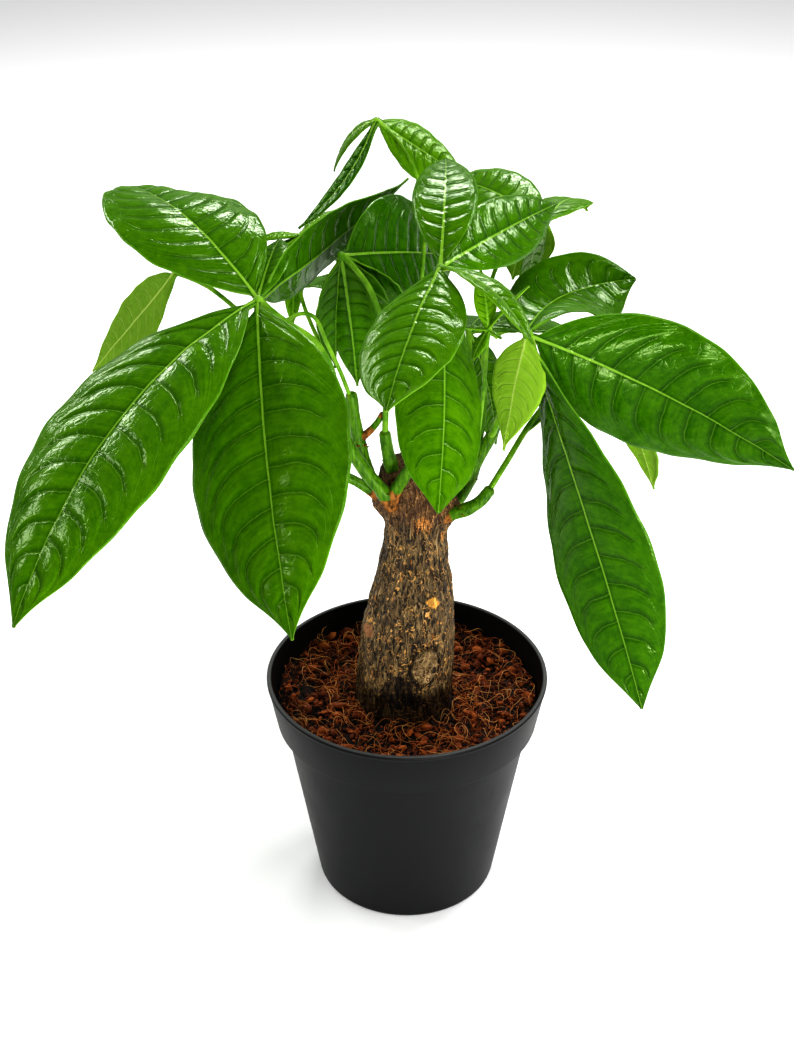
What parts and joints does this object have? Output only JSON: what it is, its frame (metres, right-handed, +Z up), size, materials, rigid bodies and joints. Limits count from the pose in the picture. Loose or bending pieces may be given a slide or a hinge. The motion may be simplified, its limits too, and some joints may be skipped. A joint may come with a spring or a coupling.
{
  "type": "potted money tree",
  "caption": "Small potted house plant with a stout bottle-shaped trunk, green shoots and hand-shaped glossy leaves in a round black nursery pot.",
  "frame": {"origin": "middle of the pot's flat base, where it rests", "axes": "+Z up along the pot's axis, the viewed side faces -Y, +X to the viewer's right"},
  "size_m": [0.284, 0.2822, 0.3351],
  "materials": {
    "pot": "black moulded plastic with a soft sheen",
    "medium": "rough damp coir chips and fibres",
    "bark": "rough ridged grey-brown bark",
    "shoot": "smooth green stem",
    "leaf": "glossy quilted leaf",
    "young_leaf": "soft glossy young leaf"
  },
  "bodies": {
    "root": {"pot": "pot", "growing_medium": "medium", "trunk": "bark", "shoot_left": "shoot", "shoot_front": "shoot", "shoot_centre": "shoot", "shoot_rear": "shoot", "shoot_right": "shoot", "shoot_low_right": "shoot", "leaf_left": "leaf", "leaf_left_rear": "leaf", "leaf_hanging": "leaf", "leaf_front": "leaf", "leaf_right": "leaf", "leaf_right_rear": "leaf", "leaf_top": "young_leaf", "leaf_young_left": "young_leaf", "leaf_young_low": "young_leaf", "leaf_long_stalk": "leaf", "leaf_young_right": "young_leaf", "leaf_back_left": "leaf", "leaf_back_right": "leaf", "leaf_back_low": "leaf"}
  },
  "joints": []
}
